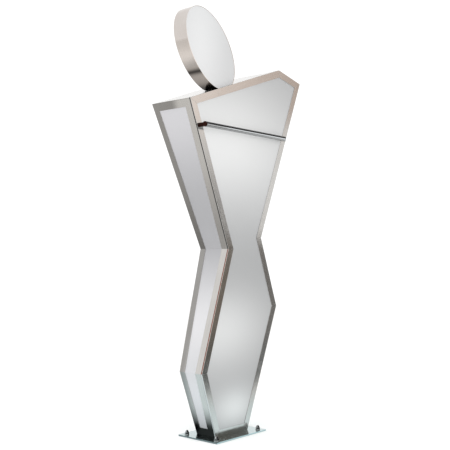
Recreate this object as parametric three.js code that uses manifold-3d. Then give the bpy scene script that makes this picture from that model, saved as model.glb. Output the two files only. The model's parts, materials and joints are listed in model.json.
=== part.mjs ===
// Abstract standing display figure: a folded steel body with opal panels, an oval head, a chest rail
// and a floor plate. Millimetres, +Z up, the figure faces -Y, origin under the middle of the floor plate.
import * as THREE from 'three';
import { mergeVertices } from 'three/addons/utils/BufferGeometryUtils.js';
import Module from 'manifold-3d';

const wasm = await Module();
wasm.setup();

// ---------- driving dimensions ----------
const gap = 0.3;                      // clearance between touching pieces
const plate = { width: 328, depth: 226, thick: 6, inset: 26.5, cornerRadius: 2 };
const frontY = -52.5;                 // outer face of the front cover
const bodyBottom = plate.thick + gap;
const outline = [                     // front outline (x, z), from the low shoulder over the ridge
  [-264, 1444], [345, 1664], [513, 1624], [206, 863], [319, 547],
  [107, bodyBottom], [-103, bodyBottom], [-191, 285], [-21, 812],
];
const depth = { foot: 112, waist: 168.5, lowShoulder: 231.5 };
const sheet = 2;                      // folded steel sheet
const shadowGap = 5;                  // open joint between front cover and side skins
const trim = { front: 31, frontTop: 33, side: 33, sideBack: 30, end: 33 };
const opal = { front: 4, side: 3, lap: 6 };
const flange = { inset: 6, depth: 24 };
const retainer = { thick: 1.5, foot: 4, hold: 5, slack: 0.5 };
const head = {
  x: -118, z: 1679.7, minor: 123.5, major: 196, tilt: 39.5 * Math.PI / 180,
  frontY: -37.5, depth: 73, sheet: 2, face: 4, faceInset: 1, lip: 8, lipThick: 1.5, backSheet: 1.5,
};
const headLamp = { radius: 45, thick: 3, hub: 12, behindLip: 12 };
const rail = {
  z: 1336, leftX: -205, rightX: 365, leftY: -84.3, rightY: -67.3, radius: 11.5, wall: 2, segments: 48,
  capRadius: 11.1, capLength: 6, plugLength: 8,
  pinX: -203, pinRadius: 9.5, lugX: 371, lugLength: 42, lugHeight: 18, lugThick: 2.7,
};
const screw = { radius: 3, head: 4.5, headTall: 3, depth: 12, headRoom: 5.5, lugOffset: 8 };
const anchor = {
  radius: 5, hole: 5.5, washer: 10.5, washerThick: 2, flat: 8.5, hexTall: 8, dome: 8,
  domeProfile: [[1, 0], [0.92, 3.4], [0.72, 6.2], [0.4, 7.8], [0, 8.4]],   // share of the radius, height
};
const footPlate = { thick: 4, boltX: [-70, 75], boltY: [-12, 40], bolt: 4, boltHead: 7, boltHeadTall: 5 };
const spine = { x: 30, y: 36, size: 30, wall: 3, top: 1500 };
const rib = { thick: 3, frontY: -15, inset: 8, rim: 25, heights: { knee: 300, waist: 830, chest: 1230 } };
const lamp = {
  width: 110, height: 70, tray: 1.5, lip: 10, board: 1.6, margin: 3, led: 6, ledTall: 1.2,
  pitch: 26, columns: [-1.5, -0.5, 0.5, 1.5], rows: [-0.5, 0.5],
  heights: { foot: 110, thigh: 430, chest: 1290 },
};
const driver = { width: 44, depth: 30, bottom: 520, top: 670 };
const gland = { x: -45, y: 12, radius: 8, nut: 12, nutTall: 8, top: 30, bore: 3.6 };
const neck = {
  thick: 5, length: 90, width: 48, boltSpread: 26, bolt: 4, boltHead: 6.5, boltHeadTall: 5, boltBelow: 6,
  hole: 6, sleeveWall: 2, sleeveRim: 3, sleeveRimThick: 2, floorThick: 3, floorShorter: 9,
};
const catches = {
  length: 20, width: 10, strike: 2, magnet: 5,
  places: [[8, 0.35], [7, 0.35], [2, 0.35], [4, 0.35]],   // outline edge, share of the way along it
};
const leadRadius = { supply: 3, lamp: 2.5 };
const sides = 32;

// ---------- materials ----------
const steel = { color: 0xb4b0aa, roughness: 0.28, metalness: 1 };
const mirrorSteel = { color: 0xd0cfcc, roughness: 0.08, metalness: 1 };
const zincSteel = { color: 0xa8acae, roughness: 0.45, metalness: 0.9 };
const aluminium = { color: 0xc9cbcd, roughness: 0.4, metalness: 1 };
const opalAcrylic = { color: 0xe8e9e8, roughness: 0.35, metalness: 0 };
const darkBronze = { color: 0x2a1a16, roughness: 0.3, metalness: 0.8 };
const blackPlastic = { color: 0x1c1c1e, roughness: 0.55, metalness: 0 };
const whiteEnamel = { color: 0xf2f2ee, roughness: 0.5, metalness: 0 };

const figure = new THREE.Group();

// ---------- solids ----------
const frontPlane = new THREE.Matrix4().makeBasis(
  new THREE.Vector3(1, 0, 0), new THREE.Vector3(0, 0, 1), new THREE.Vector3(0, -1, 0));
const sidePlane = new THREE.Matrix4().makeBasis(
  new THREE.Vector3(0, 1, 0), new THREE.Vector3(0, 0, 1), new THREE.Vector3(1, 0, 0));
const alongZ = new THREE.Matrix4().makeRotationX(Math.PI / 2);

function solid(geometry) {
  const bare = geometry.index ? geometry.toNonIndexed() : geometry.clone();
  bare.deleteAttribute('normal');
  bare.deleteAttribute('uv');
  const merged = mergeVertices(bare, 1e-4);
  return new wasm.Manifold(new wasm.Mesh({
    numProp: 3,
    vertProperties: new Float32Array(merged.attributes.position.array),
    triVerts: new Uint32Array(merged.index.array),
  }));
}

function addPart(name, body, look) {
  const mesh = body.getMesh();
  const geometry = new THREE.BufferGeometry();
  geometry.setAttribute('position', new THREE.BufferAttribute(mesh.vertProperties, 3));
  geometry.setIndex(new THREE.BufferAttribute(mesh.triVerts, 1));
  geometry.computeVertexNormals();
  const part = new THREE.Mesh(geometry, new THREE.MeshStandardMaterial(look));
  part.name = name;
  figure.add(part);
}

const union = (bodies) => bodies.reduce((all, body) => all.add(body));
const shapeOf = (points) => new THREE.Shape(points.map(([u, v]) => new THREE.Vector2(u, v)));

function prism(shape, matrix, from, length) {
  const geometry = new THREE.ExtrudeGeometry(shape, { depth: length, bevelEnabled: false, curveSegments: 12 });
  geometry.translate(0, 0, from);
  geometry.applyMatrix4(matrix);
  return solid(geometry);
}
// (x, z) outline between two y values, (y, z) outline between two x values
const frontPrism = (points, y0, y1) => prism(shapeOf(points), frontPlane, -y1, y1 - y0);
const sidePrism = (points, x0, x1) => prism(shapeOf(points), sidePlane, x0, x1 - x0);
const flatPrism = (shape, z0, z1) => prism(shape, new THREE.Matrix4(), z0, z1 - z0);

function block(x0, x1, y0, y1, z0, z1) {
  const geometry = new THREE.BoxGeometry(x1 - x0, y1 - y0, z1 - z0);
  geometry.translate((x0 + x1) / 2, (y0 + y1) / 2, (z0 + z1) / 2);
  return solid(geometry);
}

function rod(radius, z0, z1, x = 0, y = 0, segments = sides) {
  const geometry = new THREE.CylinderGeometry(radius, radius, z1 - z0, segments);
  geometry.applyMatrix4(alongZ);
  geometry.translate(x, y, (z0 + z1) / 2);
  return solid(geometry);
}

// a round bar between two points
function bar(radius, start, end, segments = sides) {
  const a = new THREE.Vector3(...start);
  const b = new THREE.Vector3(...end);
  const geometry = new THREE.CylinderGeometry(radius, radius, a.distanceTo(b), segments);
  const turn = new THREE.Quaternion().setFromUnitVectors(
    new THREE.Vector3(0, 1, 0), b.clone().sub(a).normalize());
  geometry.applyQuaternion(turn);
  geometry.translate(...a.add(b).multiplyScalar(0.5));
  return solid(geometry);
}

// a closed profile of (radius, z) points turned round a vertical axis
function turned(profile, x, y, z) {
  const geometry = new THREE.LatheGeometry(profile.map(([r, h]) => new THREE.Vector2(r, h)), sides);
  geometry.applyMatrix4(alongZ);
  geometry.translate(x, y, z);
  return solid(geometry);
}

// ---------- body shape ----------
// each edge of a clockwise outline moved inwards by its own distance
function inset(points, distance) {
  const lines = points.map(([x, z], i) => {
    const [nextX, nextZ] = points[(i + 1) % points.length];
    const length = Math.hypot(nextX - x, nextZ - z);
    const along = [(nextX - x) / length, (nextZ - z) / length];
    const step = Array.isArray(distance) ? distance[i] : distance;
    return { point: [x + along[1] * step, z - along[0] * step], along };
  });
  return lines.map((line, i) => {
    const before = lines[(i + lines.length - 1) % lines.length];
    const cross = before.along[0] * line.along[1] - before.along[1] * line.along[0];
    const apartX = line.point[0] - before.point[0];
    const apartZ = line.point[1] - before.point[1];
    const t = (apartX * line.along[1] - apartZ * line.along[0]) / cross;
    return [before.point[0] + before.along[0] * t, before.point[1] + before.along[1] * t];
  });
}

// one distance for the side edges, one for the two shoulder edges and one for the bottom edge
const margins = (side, top, bottom) => [top, top, side, side, side, bottom, side, side, side];

const waistZ = outline[8][1];
const topZ = 1700;
const reach = 700;
const lowerSlope = (depth.waist - depth.foot) / (waistZ - bodyBottom);
const upperSlope = (depth.lowShoulder - depth.waist) / (outline[0][1] - waistZ);
const backY = (z) => frontY + (z < waistZ
  ? depth.foot + (z - bodyBottom) * lowerSlope
  : depth.waist + (z - waistZ) * upperSlope);

// everything between y0 and the back less a margin, between two heights
function bodyDepth(y0, margin, z0 = 0, z1 = topZ) {
  const heights = [z0, waistZ, z1];
  return sidePrism([[y0, z0], ...heights.map((z) => [backY(z) - margin, z]), [y0, z1]], -reach, reach);
}

// a strip of the body wall along some corners, between two insets of the outline
function wall(corners, outerMargins, innerMargins, cutter) {
  const outside = inset(outline, outerMargins);
  const inside = inset(outline, innerMargins);
  const strip = corners.map((i) => outside[i]).concat([...corners].reverse().map((i) => inside[i]));
  return frontPrism(strip, frontY, reach).intersect(cutter);
}

const skinY = frontY + sheet + shadowGap;
const under = sheet + gap;            // just inside the folded sheet
const windowY = skinY + trim.side;
const corners = { left: [0, 8, 7, 6], right: [2, 3, 4, 5], shoulder: [0, 1, 2] };

// a point at a fraction of one outline edge, with the edge's inward normal
function edgePoint(edge, fraction) {
  const [x, z] = outline[edge];
  const [nextX, nextZ] = outline[(edge + 1) % outline.length];
  const length = Math.hypot(nextX - x, nextZ - z);
  const normal = new THREE.Vector3((nextZ - z) / length, 0, -(nextX - x) / length);
  return { point: new THREE.Vector3(x + (nextX - x) * fraction, 0, z + (nextZ - z) * fraction), normal };
}

// ---------- side skins ----------
// each side: a skin folded at the waist and the knee, an opal sheet folded with it, and an L-section
// frame that holds the opal sheet's edges
const retainerReach = opal.lap + retainer.slack + retainer.foot;

function addSide(name, topOfSide) {
  const windowGrown = (by) => bodyDepth(windowY - by, trim.sideBack - by,
    bodyBottom + trim.end - by, topOfSide - trim.end + by);
  const skin = wall(corners[name], margins(0, under, 0), margins(sheet, under, 0), bodyDepth(skinY, 0));
  addPart(`${name}_side_skin`, skin.subtract(windowGrown(0)), steel);
  const opalSheet = wall(corners[name], under, under + opal.side, windowGrown(opal.lap));
  addPart(`${name}_diffuser`, opalSheet, opalAcrylic);
  const bed = under + opal.side + gap;
  const outside = windowGrown(retainerReach);
  const foot = outside.subtract(windowGrown(opal.lap + retainer.slack));
  const tongue = outside.subtract(windowGrown(opal.lap - retainer.hold));
  addPart(`${name}_retainer`, wall(corners[name], under, bed + retainer.thick, foot)
    .add(wall(corners[name], bed, bed + retainer.thick, tongue)), zincSteel);
}

// ---------- floor fixing ----------
const anchorSpots = [-1, 1].flatMap((i) => [-1, 1].map((j) => [
  i * (plate.width / 2 - plate.inset), j * (plate.depth / 2 - plate.inset)]));
const footBoltSpots = footPlate.boltX.flatMap((x) => footPlate.boltY.map((y) => [x, y]));
const drill = (body, spots, radius) => body.subtract(
  union(spots.map(([x, y]) => rod(radius, -reach, reach, x, y))));
const hexRadius = (halfFlat) => halfFlat / Math.cos(Math.PI / 6);

function addFloorFixing() {
  const basePlate = new THREE.Shape();
  const [w, d, r] = [plate.width / 2, plate.depth / 2, plate.cornerRadius];
  basePlate.moveTo(-w + r, -d).lineTo(w - r, -d).quadraticCurveTo(w, -d, w, -d + r);
  basePlate.lineTo(w, d - r).quadraticCurveTo(w, d, w - r, d);
  basePlate.lineTo(-w + r, d).quadraticCurveTo(-w, d, -w, d - r);
  basePlate.lineTo(-w, -d + r).quadraticCurveTo(-w, -d, -w + r, -d);
  let slab = flatPrism(basePlate, 0, plate.thick);
  slab = drill(slab, anchorSpots, anchor.hole);
  slab = drill(slab, footBoltSpots, footPlate.bolt + gap);
  slab = drill(slab, [[gland.x, gland.y]], gland.radius + gap);
  addPart('base_plate', slab, mirrorSteel);

  const washerBottom = plate.thick + gap;
  const hexBottom = washerBottom + anchor.washerThick + gap;
  anchorSpots.forEach(([x, y], i) => {
    const washer = rod(anchor.washer, washerBottom, washerBottom + anchor.washerThick, x, y)
      .subtract(rod(anchor.radius + gap, -1, hexBottom + 1, x, y));
    addPart(`anchor_washer_${i + 1}`, washer, mirrorSteel);
    const shank = rod(anchor.radius, 0, hexBottom + 1, x, y);
    const hex = rod(hexRadius(anchor.flat), hexBottom, hexBottom + anchor.hexTall, x, y, 6);
    const cap = anchor.domeProfile.map(([share, height]) => [anchor.dome * share, anchor.hexTall + height]);
    const dome = turned([[0, 1], [anchor.dome, 1], ...cap], x, y, hexBottom);
    addPart(`anchor_bolt_${i + 1}`, shank.add(hex).add(dome), mirrorSteel);
  });
}

// ---------- foot plate, spine and ribs ----------
const footTop = bodyBottom + footPlate.thick;

function addFoot() {
  const inside = frontPrism(inset(outline, margins(under, under, 0)), skinY, reach);
  let floor = inside.intersect(bodyDepth(skinY, under))
    .intersect(block(-reach, reach, -reach, reach, bodyBottom, footTop));
  floor = drill(floor, footBoltSpots, footPlate.bolt + gap);
  floor = drill(floor, [[gland.x, gland.y]], gland.radius + gap);
  addPart('foot_plate', floor, zincSteel);
  const headBottom = footTop + gap;
  footBoltSpots.forEach(([x, y], i) => {
    const shank = rod(footPlate.bolt, gap, headBottom + 1, x, y);
    const hex = rod(hexRadius(footPlate.boltHead), headBottom, headBottom + footPlate.boltHeadTall, x, y, 6);
    addPart(`foot_bolt_${i + 1}`, shank.add(hex), zincSteel);
  });
}

function addSpine() {
  const half = spine.size / 2;
  const hollow = half - spine.wall;
  const bottom = footTop + gap;
  const tube = (r, z0, z1) => block(spine.x - r, spine.x + r, spine.y - r, spine.y + r, z0, z1);
  addPart('spine', tube(half, bottom, spine.top).subtract(tube(hollow, bottom - 1, spine.top + 1)), zincSteel);

  for (const [name, z] of Object.entries(rib.heights)) {
    const slab = block(-reach, reach, -reach, reach, z, z + rib.thick);
    const inside = frontPrism(inset(outline, rib.inset), skinY, reach);
    let plateRib = inside.intersect(bodyDepth(rib.frontY, under)).intersect(slab);
    const { min, max } = plateRib.boundingBox();
    plateRib = plateRib.subtract(tube(half + gap, z - 1, z + rib.thick + 1));
    const openings = [[min[0] + rib.rim, spine.x - rib.rim], [spine.x + rib.rim, max[0] - rib.rim]];
    for (const [x0, x1] of openings.filter(([a, b]) => b - a > rib.rim)) {
      const opening = block(x0, x1, min[1] + rib.rim / 2, max[1] - rib.rim / 2, z - 1, z + rib.thick + 1);
      plateRib = plateRib.subtract(opening);
    }
    addPart(`rib_${name}`, plateRib, zincSteel);
  }
}

// ---------- shoulder, back ----------
const [lowShoulder, ridge] = outline;
const shoulderSlope = Math.atan2(ridge[1] - lowShoulder[1], ridge[0] - lowShoulder[0]);

// the chord that the shoulder cuts off the head oval gives the middle of the neck
function neckPoint() {
  const normal = [-Math.sin(shoulderSlope), Math.cos(shoulderSlope)];
  const majorAxis = [-Math.sin(head.tilt), Math.cos(head.tilt)];
  const minorAxis = [Math.cos(head.tilt), Math.sin(head.tilt)];
  const dot = (a, b) => a[0] * b[0] + a[1] * b[1];
  const away = dot([head.x - lowShoulder[0], head.z - lowShoulder[1]], normal);
  const byMajor = head.major ** 2 * dot(majorAxis, normal);
  const byMinor = head.minor ** 2 * dot(minorAxis, normal);
  const support = (head.major * dot(majorAxis, normal)) ** 2 + (head.minor * dot(minorAxis, normal)) ** 2;
  return [0, 1].map((i) => [head.x, head.z][i]
    - (away / support) * (byMajor * majorAxis[i] + byMinor * minorAxis[i]));
}

const neckCentre = neckPoint();
const neckY = head.frontY + head.depth / 2;
const onShoulder = new THREE.Matrix4().makeRotationY(-shoulderSlope)
  .setPosition(neckCentre[0], neckY, neckCentre[1]);

// a body made flat at the origin, moved to where it belongs
function moved(body, matrix) {
  const mesh = body.getMesh();
  const geometry = new THREE.BufferGeometry();
  geometry.setAttribute('position', new THREE.BufferAttribute(mesh.vertProperties.slice(), 3));
  geometry.setIndex(new THREE.BufferAttribute(mesh.triVerts.slice(), 1));
  geometry.applyMatrix4(matrix);
  return solid(geometry);
}

const neckBoltSpots = [[-neck.boltSpread, 0], [neck.boltSpread, 0]];
const neckDrill = () => moved(union([
  ...neckBoltSpots.map(([x, y]) => rod(neck.bolt + gap, -neck.length, neck.length, x, y)),
  rod(neck.hole + gap, -neck.length, neck.length)]), onShoulder);

function addShoulderAndBack() {
  const cap = wall(corners.shoulder, 0, margins(0, sheet, 0), bodyDepth(skinY, 0)).subtract(neckDrill());
  addPart('shoulder_cap', cap, steel);
  const band = bodyDepth(skinY, 0).subtract(bodyDepth(skinY - 1, sheet, -1, topZ + 1));
  const inside = frontPrism(inset(outline, margins(under, under, 0)), skinY, reach);
  addPart('back_panel', band.intersect(inside), steel);

  const stiffener = block(-neck.length / 2, neck.length / 2, -neck.width / 2, neck.width / 2,
    -under - neck.thick, -under);
  addPart('neck_plate', moved(stiffener, onShoulder).subtract(neckDrill()), zincSteel);
}

// ---------- head ----------
function oval(inwards, y0, y1) {
  const shape = new THREE.Shape();
  shape.absellipse(head.x, head.z, head.minor - inwards, head.major - inwards,
    0, Math.PI * 2, false, head.tilt);
  const geometry = new THREE.ExtrudeGeometry(shape, { depth: y1 - y0, bevelEnabled: false, curveSegments: 36 });
  geometry.translate(0, 0, -y1);
  geometry.applyMatrix4(frontPlane);
  return solid(geometry);
}

// everything under a line a little above the shoulder
function belowShoulder(above) {
  const slab = block(-reach, reach, -reach, reach, -reach, above);
  return moved(slab, onShoulder);
}

function addHead() {
  const y0 = head.frontY;
  const y1 = y0 + head.depth;
  const faceY = y0 + head.faceInset;
  const frontLipY = faceY + head.face + gap;
  const backY1 = y1 - head.faceInset;
  const backLipY = backY1 - head.backSheet - gap - head.lipThick;
  const lip = (y) => oval(head.sheet / 2, y, y + head.lipThick)
    .subtract(oval(head.sheet + head.lip, y - 1, y + head.lipThick + 1));
  const rim = oval(0, y0, y1).subtract(oval(head.sheet, y0 - 1, y1 + 1)).add(lip(frontLipY)).add(lip(backLipY));
  addPart('head_rim', rim.subtract(belowShoulder(gap)), mirrorSteel);
  const sheetInset = head.sheet + gap;
  addPart('head_face', oval(sheetInset, faceY, faceY + head.face).subtract(belowShoulder(gap)), opalAcrylic);
  addPart('head_back', oval(sheetInset, backY1 - head.backSheet, backY1).subtract(belowShoulder(gap)), steel);

  const innerDepth = Math.min(neckY - frontLipY - head.lipThick, backLipY - neckY) - gap;
  const floorLength = neck.length / 2 - neck.floorShorter;
  const floor = block(-floorLength, floorLength, -innerDepth, innerDepth, gap, gap + neck.floorThick);
  addPart('head_base', moved(floor, onShoulder).subtract(neckDrill()), zincSteel);
  const boltBottom = -under - neck.thick - neck.boltBelow;
  const headTop = gap * 2 + neck.floorThick;
  neckBoltSpots.forEach(([x, y], i) => {
    const shank = rod(neck.bolt, boltBottom, headTop + 1, x, y);
    const hex = rod(hexRadius(neck.boltHead), headTop, headTop + neck.boltHeadTall, x, y, 6);
    addPart(`neck_bolt_${i + 1}`, moved(shank.add(hex), onShoulder), zincSteel);
  });

  const sleeveTop = headTop + neck.sleeveRimThick;
  const sleeve = rod(neck.hole, boltBottom, sleeveTop).add(rod(neck.hole + neck.sleeveRim, headTop, sleeveTop));
  const grommet = sleeve.subtract(rod(neck.hole - neck.sleeveWall, boltBottom - 1, sleeveTop + 1));
  addPart('head_grommet', moved(grommet, onShoulder), blackPlastic);

  const lampY = backLipY - headLamp.behindLip;
  const alongDepth = (radius, from, to) => bar(radius, [head.x, from, head.z], [head.x, to, head.z]);
  const disc = alongDepth(headLamp.radius, lampY, lampY + headLamp.thick);
  const hub = alongDepth(headLamp.hub, lampY + 1, backY1 - head.backSheet - gap);
  addPart('head_lamp', disc.add(hub), whiteEnamel);
}

// ---------- front cover ----------
const openingMargins = margins(trim.front, trim.frontTop, trim.front);
const screwX = { left: rail.pinX, right: rail.lugX + screw.lugOffset };
const railScrewHole = (x, radius) => bar(radius, [x, frontY - screw.depth, rail.z],
  [x, frontY + screw.depth, rail.z]);

function addFrontCover() {
  const back = frontY + sheet;
  const face = frontPrism(outline, frontY, back).subtract(
    frontPrism(inset(outline, openingMargins), frontY - 1, back + 1));
  const outer = frontPrism(inset(outline, flange.inset), back - 0.5, back + flange.depth);
  const inner = frontPrism(inset(outline, flange.inset + sheet), frontY - 1, back + flange.depth + 1);
  const ring = outer.subtract(inner);

  const strikeY = back + flange.depth;
  const magnetY = strikeY + catches.strike + gap;
  const retainerTop = under + opal.side + gap + retainer.thick + gap;
  const half = catches.length / 2;
  const strikes = catches.places.map(([edge, fraction], i) => {
    const { point, normal } = edgePoint(edge, fraction);
    const across = new THREE.Vector3(0, 1, 0);
    const frame = new THREE.Matrix4()
      .makeBasis(new THREE.Vector3().crossVectors(across, normal), across, normal).setPosition(point);
    const magnet = block(-half, half, magnetY, magnetY + catches.magnet,
      retainerTop, retainerTop + catches.width);
    addPart(`cover_magnet_${i + 1}`, moved(magnet, frame), blackPlastic);
    return moved(block(-half, half, strikeY - 1, strikeY + catches.strike,
      flange.inset, retainerTop + catches.width), frame);
  });
  const holes = (radius) => railScrewHole(screwX.left, radius).add(railScrewHole(screwX.right, radius));
  addPart('front_cover_frame', face.add(ring).add(union(strikes)).subtract(holes(screw.radius + gap)), steel);

  const opalY = back + gap;
  const frontWindow = (grow, y0, y1) => frontPrism(
    inset(outline, openingMargins.map((margin) => margin - grow)), y0, y1);
  addPart('front_diffuser', frontWindow(opal.lap, opalY, opalY + opal.front), opalAcrylic);

  const bedY = opalY + opal.front + gap;
  const holdY = bedY + retainer.thick;
  const foot = frontWindow(retainerReach, opalY, holdY)
    .subtract(frontWindow(opal.lap + retainer.slack, opalY - 1, holdY + 1));
  const tongue = frontWindow(retainerReach, bedY, holdY)
    .subtract(frontWindow(opal.lap - retainer.hold, bedY - 1, holdY + 1));
  addPart('front_retainer', foot.add(tongue).subtract(holes(screw.headRoom)), zincSteel);
}

// ---------- chest rail ----------
function addRail() {
  const left = new THREE.Vector3(rail.leftX, rail.leftY, rail.z);
  const right = new THREE.Vector3(rail.rightX, rail.rightY, rail.z);
  const along = right.clone().sub(left).normalize();
  // a round body on the rail's axis, from one distance past the left end to another past the right end
  const onAxis = (radius, start, from, end, to, segments) => bar(radius,
    start.clone().addScaledVector(along, from).toArray(),
    end.clone().addScaledVector(along, to).toArray(), segments);
  const innerRadius = rail.radius - rail.wall;
  const tube = onAxis(rail.radius, left, 0, right, 0, rail.segments)
    .subtract(onAxis(innerRadius, left, -1, right, 1, rail.segments));
  addPart('chest_rail', tube, mirrorSteel);
  const spigot = innerRadius - gap;
  const cap = onAxis(rail.capRadius, left, -rail.capLength, left, -gap);
  addPart('rail_plug_left', cap.add(onAxis(spigot, left, -1, left, rail.plugLength)), darkBronze);
  addPart('rail_plug_right', onAxis(spigot, right, -rail.plugLength, right, 0), darkBronze);

  const clearRail = onAxis(rail.radius + gap, left, -rail.pinRadius * 2, right, 0, rail.segments);
  const alongDepth = (radius, x, from, to) => bar(radius, [x, from, rail.z], [x, to, rail.z]);
  const lugBack = frontY - gap;
  const lugFront = lugBack - rail.lugThick;
  const pin = alongDepth(rail.pinRadius, rail.pinX, lugBack, rail.leftY).subtract(clearRail)
    .subtract(alongDepth(screw.radius + gap, rail.pinX, frontY, frontY - screw.depth - gap));
  addPart('rail_pin', pin, darkBronze);

  const halfLug = rail.lugLength / 2;
  const lug = block(rail.lugX - halfLug, rail.lugX + halfLug, lugFront, lugBack,
    rail.z - rail.lugHeight / 2, rail.z + rail.lugHeight / 2);
  const screwEnd = { left: frontY - screw.depth, right: lugFront + gap };
  const lugHole = alongDepth(screw.radius + gap, screwX.right, frontY, screwEnd.right - gap / 2);
  addPart('rail_lug', lug.subtract(lugHole), steel);
  const screwBack = frontY + sheet + gap;
  for (const end of ['left', 'right']) {
    const shank = alongDepth(screw.radius, screwX[end], screwEnd[end], screwBack + 1);
    const screwHead = alongDepth(screw.head, screwX[end], screwBack, screwBack + screw.headTall);
    addPart(`rail_screw_${end}`, shank.add(screwHead), zincSteel);
  }
}

// ---------- lamps and wiring ----------
function addLamps() {
  const trayBack = spine.y - spine.size / 2 - gap;
  for (const [name, z] of Object.entries(lamp.heights)) {
    const x0 = spine.x - lamp.width / 2;
    const x1 = spine.x + lamp.width / 2;
    const z0 = z - lamp.height / 2;
    const z1 = z + lamp.height / 2;
    const plateFront = trayBack - lamp.tray;
    const tray = block(x0, x1, plateFront - lamp.lip, trayBack, z0, z1)
      .subtract(block(x0 - 1, x1 + 1, plateFront - lamp.lip - 1, plateFront, z0 + lamp.tray, z1 - lamp.tray));
    addPart(`lamp_tray_${name}`, tray, aluminium);
    const boardBack = plateFront - gap;
    const boardFront = boardBack - lamp.board;
    let board = block(x0 + lamp.margin, x1 - lamp.margin, boardFront, boardBack,
      z0 + lamp.tray + lamp.margin, z1 - lamp.tray - lamp.margin);
    for (const i of lamp.columns) {
      for (const j of lamp.rows) {
        const [x, ledZ] = [spine.x + i * lamp.pitch, z + j * lamp.pitch];
        board = board.add(block(x - lamp.led / 2, x + lamp.led / 2, boardFront - lamp.ledTall, boardFront + 0.5,
          ledZ - lamp.led / 2, ledZ + lamp.led / 2));
      }
    }
    addPart(`lamp_board_${name}`, board, whiteEnamel);
  }
  const driverRight = spine.x - spine.size / 2 - gap;
  addPart('lamp_driver', block(driverRight - driver.width, driverRight, spine.y - driver.depth / 2,
    spine.y + driver.depth / 2, driver.bottom, driver.top), whiteEnamel);
}

function lead(points, radius) {
  const curve = new THREE.CatmullRomCurve3(points.map((p) => new THREE.Vector3(...p)), false, 'centripetal');
  const section = new THREE.Shape();
  section.absellipse(0, 0, radius, radius, 0, Math.PI * 2, false, 0);
  return solid(new THREE.ExtrudeGeometry(section, {
    steps: 60, curveSegments: 4, extrudePath: curve, bevelEnabled: false,
  }));
}

function addWiring() {
  const glandBody = rod(gland.radius, gap, gland.top, gland.x, gland.y)
    .add(rod(gland.nut, footTop + gap, footTop + gap + gland.nutTall, gland.x, gland.y, 6));
  addPart('cable_gland', glandBody.subtract(rod(gland.bore, -1, gland.top + 1, gland.x, gland.y)), blackPlastic);

  const driverX = spine.x - spine.size / 2 - gap - driver.width / 2;
  addPart('supply_lead', lead([
    [gland.x, gland.y, gland.top + gap], [gland.x, gland.y, 120], [gland.x, gland.y, 300],
    [gland.x, gland.y, 420], [driverX, spine.y, 490], [driverX, spine.y, driver.bottom - gap],
  ], leadRadius.supply), blackPlastic);
  const neckBottom = new THREE.Vector3(0, 0, -under - neck.thick - neck.boltBelow - gap)
    .applyMatrix4(onShoulder);
  addPart('lamp_lead', lead([
    [driverX, spine.y, driver.top + gap], [driverX, spine.y, 690], [20, 8, 740], [85, 8, 790], [100, 20, 840],
    [100, 20, 1100], [100, 20, 1300], [60, 8, 1400],
    [neckBottom.x + 8, neckBottom.y, neckBottom.z - 24], neckBottom.toArray(),
  ], leadRadius.lamp), blackPlastic);
}

addFloorFixing();
addFoot();
addSpine();
addSide('left', lowShoulder[1]);
addSide('right', outline[2][1]);
addShoulderAndBack();
addHead();
addFrontCover();
addRail();
addLamps();
addWiring();

export default figure;
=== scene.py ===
import bpy
import bmesh
import json
from math import radians, sin, cos, pi, atan2, hypot
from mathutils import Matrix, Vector

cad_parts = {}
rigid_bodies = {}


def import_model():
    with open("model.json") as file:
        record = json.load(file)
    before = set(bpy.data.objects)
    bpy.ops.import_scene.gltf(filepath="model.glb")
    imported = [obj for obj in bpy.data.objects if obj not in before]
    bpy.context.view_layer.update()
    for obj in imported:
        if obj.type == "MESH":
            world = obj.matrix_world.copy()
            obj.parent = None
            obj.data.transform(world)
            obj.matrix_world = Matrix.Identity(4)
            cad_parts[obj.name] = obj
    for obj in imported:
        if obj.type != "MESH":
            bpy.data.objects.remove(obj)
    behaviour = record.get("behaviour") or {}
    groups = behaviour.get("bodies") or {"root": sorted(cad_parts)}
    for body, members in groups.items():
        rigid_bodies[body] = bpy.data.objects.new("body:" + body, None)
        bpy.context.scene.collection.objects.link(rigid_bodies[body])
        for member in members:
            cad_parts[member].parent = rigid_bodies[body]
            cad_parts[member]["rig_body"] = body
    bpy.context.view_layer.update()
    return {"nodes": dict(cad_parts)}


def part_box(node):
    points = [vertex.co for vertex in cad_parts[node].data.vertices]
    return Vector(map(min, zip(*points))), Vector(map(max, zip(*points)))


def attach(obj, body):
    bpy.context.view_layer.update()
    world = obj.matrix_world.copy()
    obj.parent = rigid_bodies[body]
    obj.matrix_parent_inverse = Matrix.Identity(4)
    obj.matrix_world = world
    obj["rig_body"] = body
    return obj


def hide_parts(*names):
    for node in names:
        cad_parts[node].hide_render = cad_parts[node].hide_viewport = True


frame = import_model()
nodes = frame["nodes"]
bodyOf = {name: node["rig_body"] for name, node in nodes.items()}
scene = bpy.context.scene
scene.view_settings.view_transform = "Standard"
scene.view_settings.look = "None"
print("frame loaded:", len(nodes), "nodes")


# an sRGB hex colour as linear red, green, blue and alpha
def linear(code):
    parts = [int(code[i:i + 2], 16) / 255 for i in (1, 3, 5)]
    return [p / 12.92 if p <= 0.04045 else ((p + 0.055) / 1.055) ** 2.4 for p in parts] + [1.0]


# One shader node with its settings; an input is either a value or the output that feeds it.
# A Map Range's inputs 1 and 2 are the old range, and 3 and 4 the new one, 0 to 1 if they are left
# out. A Mix's input 0 is the share of the second, and 2 and 3 are its numbers or 6 and 7 its colours.
def add(tree, kind, settings=None, inputs=None):
    node = tree.nodes.new("ShaderNode" + kind)
    for name, value in (settings or {}).items():
        setattr(node, name, value)
    for name, value in (inputs or {}).items():
        if isinstance(value, bpy.types.NodeSocket):
            tree.links.new(value, node.inputs[name])
        else:
            node.inputs[name].default_value = value
    return node


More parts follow.
